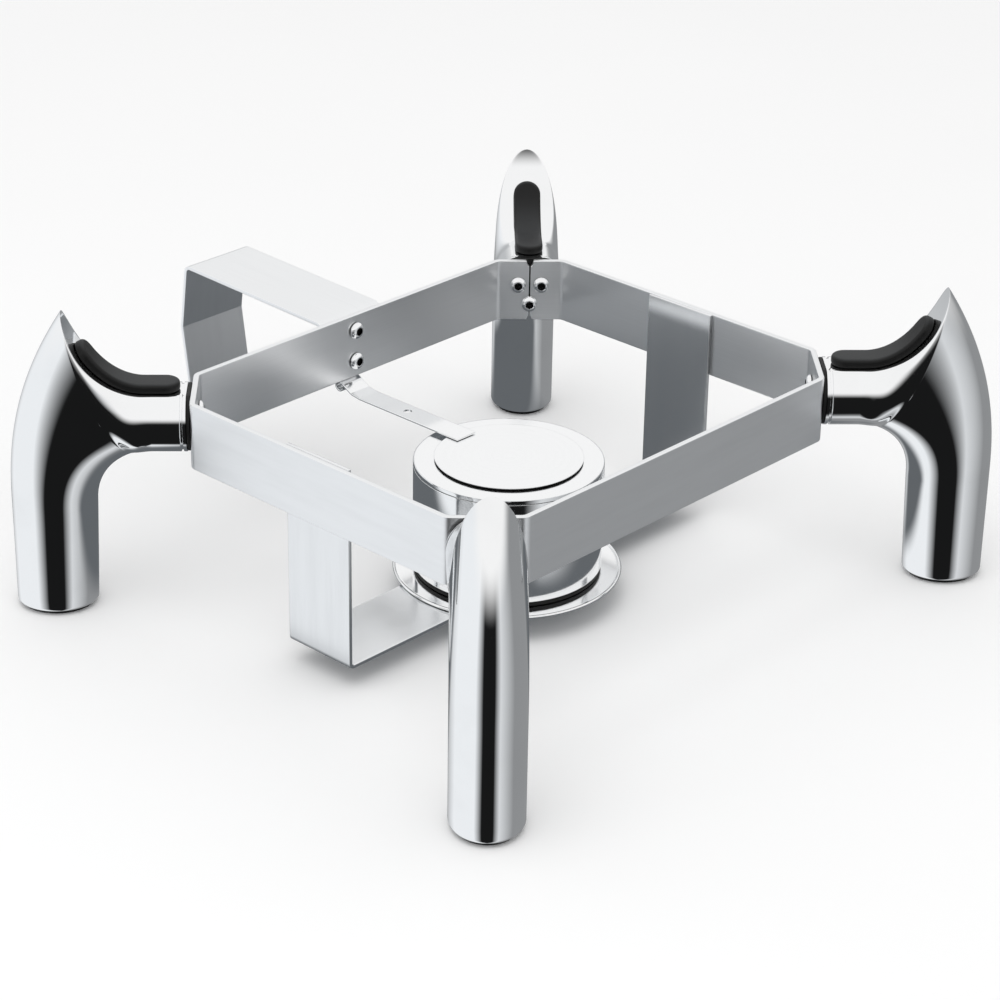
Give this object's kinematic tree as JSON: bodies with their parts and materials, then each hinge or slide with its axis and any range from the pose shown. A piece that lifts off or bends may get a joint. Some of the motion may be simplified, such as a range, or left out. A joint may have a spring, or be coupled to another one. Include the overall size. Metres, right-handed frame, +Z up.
{
  "type": "chafing dish stand",
  "caption": "Low steel stand for a chafing dish: folded rectangular band on horned legs with black pads, a rear hook bracket and a lidded fuel burner on a strap.",
  "frame": {"origin": "middle of the floor under the whole stand, rear bracket included", "axes": "+Z up, +X along the longer side of the band, +Y to the rear where the bracket is"},
  "size_m": [0.4008, 0.4114, 0.166],
  "materials": {
    "band_steel": "smooth satin sheet",
    "strap_steel": "smooth satin sheet",
    "polished_leg": "mirror polished casting",
    "burner_steel": "bright polished sheet",
    "fastener": "bright machine screw",
    "can_tin": "plain tinned can",
    "pad": "black moulded pad with a soft sheen",
    "black_rubber": "black rubber"
  },
  "bodies": {
    "root": {"frame_band": "band_steel", "burner_strap": "strap_steel", "rear_bracket": "band_steel", "bracket_screw_upper": "fastener", "bracket_nut_upper": "fastener", "bracket_screw_lower": "fastener", "bracket_nut_lower": "fastener", "leg_rear_left": "polished_leg", "gasket_rear_left": "black_rubber", "pad_rear_left": "pad", "foot_rear_left": "black_rubber", "screw_rear_left_1": "fastener", "screw_rear_left_2": "fastener", "screw_rear_left_3": "fastener", "leg_rear_right": "polished_leg", "gasket_rear_right": "black_rubber", "pad_rear_right": "pad", "foot_rear_right": "black_rubber", "screw_rear_right_1": "fastener", "screw_rear_right_2": "fastener", "screw_rear_right_3": "fastener", "leg_front_right": "polished_leg", "gasket_front_right": "black_rubber", "pad_front_right": "pad", "foot_front_right": "black_rubber", "screw_front_right_1": "fastener", "screw_front_right_2": "fastener", "screw_front_right_3": "fastener", "leg_front_left": "polished_leg", "gasket_front_left": "black_rubber", "pad_front_left": "pad", "foot_front_left": "black_rubber", "screw_front_left_1": "fastener", "screw_front_left_2": "fastener", "screw_front_left_3": "fastener"},
    "burner": {"drip_plate": "burner_steel", "burner_casing": "burner_steel", "fuel_can": "can_tin", "cap_ring": "burner_steel"},
    "lid": {"snuffer_disc": "burner_steel", "lid_arm": "burner_steel"}
  },
  "joints": [
    {"name": "burner_slide", "type": "slide", "parent": "root", "child": "burner", "axis": [0, -1, 0], "range_m": [0, 0.2]},
    {"name": "lid_slide", "type": "slide", "parent": "burner", "child": "lid", "axis": [0, 1, 0], "range_m": [0, 0.075]}
  ]
}
